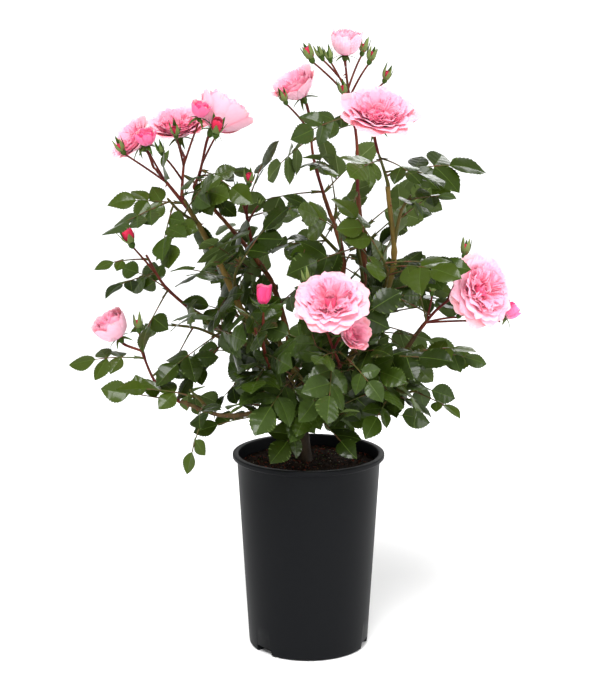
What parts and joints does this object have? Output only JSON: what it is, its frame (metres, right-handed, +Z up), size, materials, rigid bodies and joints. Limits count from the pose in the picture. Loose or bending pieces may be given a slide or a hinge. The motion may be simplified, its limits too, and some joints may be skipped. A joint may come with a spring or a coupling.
{
  "type": "potted rose bush",
  "caption": "Bushy shrub rose with arching canes, compound leaves, open pink rosette blooms and buds, growing in a tall round tapered nursery pot.",
  "frame": {"origin": "centre of the pot's flat underside", "axes": "+Z up, +X along the crown's widest spread, -Y to the front that most blooms face"},
  "size_m": [0.5609, 0.4397, 0.7915],
  "materials": {
    "pot": "satin",
    "soil": "damp, rough",
    "bark": "smooth young bark with prickles",
    "leaf": "semi-gloss leaf",
    "petal": "soft matte petal"
  },
  "bodies": {
    "root": {"pot": "pot", "soil": "soil", "trunk": "bark", "cane_back_left": "bark", "cane_back_right": "bark", "cane_centre": "bark", "cane_centre_left": "bark", "cane_front": "bark", "cane_front_left": "bark", "cane_left_back": "bark", "cane_left_high": "bark", "cane_left_low": "bark", "cane_left_mid": "bark", "cane_left_upper": "bark", "cane_right_high": "bark", "cane_right_low": "bark", "foliage_back_high": "leaf", "foliage_back_left": "leaf", "foliage_back_low": "leaf", "foliage_back_mid_left": "leaf", "foliage_back_mid_right": "leaf", "foliage_back_right": "leaf", "foliage_centre": "leaf", "foliage_centre_left": "leaf", "foliage_centre_left_top": "leaf", "foliage_centre_top": "leaf", "foliage_front": "leaf", "foliage_front_left": "leaf", "foliage_front_low": "leaf", "foliage_front_right": "leaf", "foliage_left_arm": "leaf", "foliage_left_bend": "leaf", "foliage_left_fork": "leaf", "foliage_left_high": "leaf", "foliage_left_inner": "leaf", "foliage_left_low": "leaf", "foliage_left_mid": "leaf", "foliage_left_shoulder": "leaf", "foliage_left_skirt": "leaf", "foliage_left_top": "leaf", "foliage_left_upper": "leaf", "foliage_low_front": "leaf", "foliage_low_left": "leaf", "foliage_low_right": "leaf", "foliage_right_arm": "leaf", "foliage_right_high": "leaf", "foliage_right_low": "leaf", "foliage_right_mid": "leaf", "foliage_right_skirt": "leaf", "foliage_right_spur": "leaf", "bloom_centre": "petal", "bloom_centre_small": "petal", "bloom_left_inner": "petal", "bloom_left_low": "petal", "bloom_left_middle": "petal", "bloom_left_outer": "petal", "bloom_right": "petal", "bloom_right_high": "petal", "bloom_top": "petal", "bloom_top_left": "petal"}
  },
  "joints": []
}
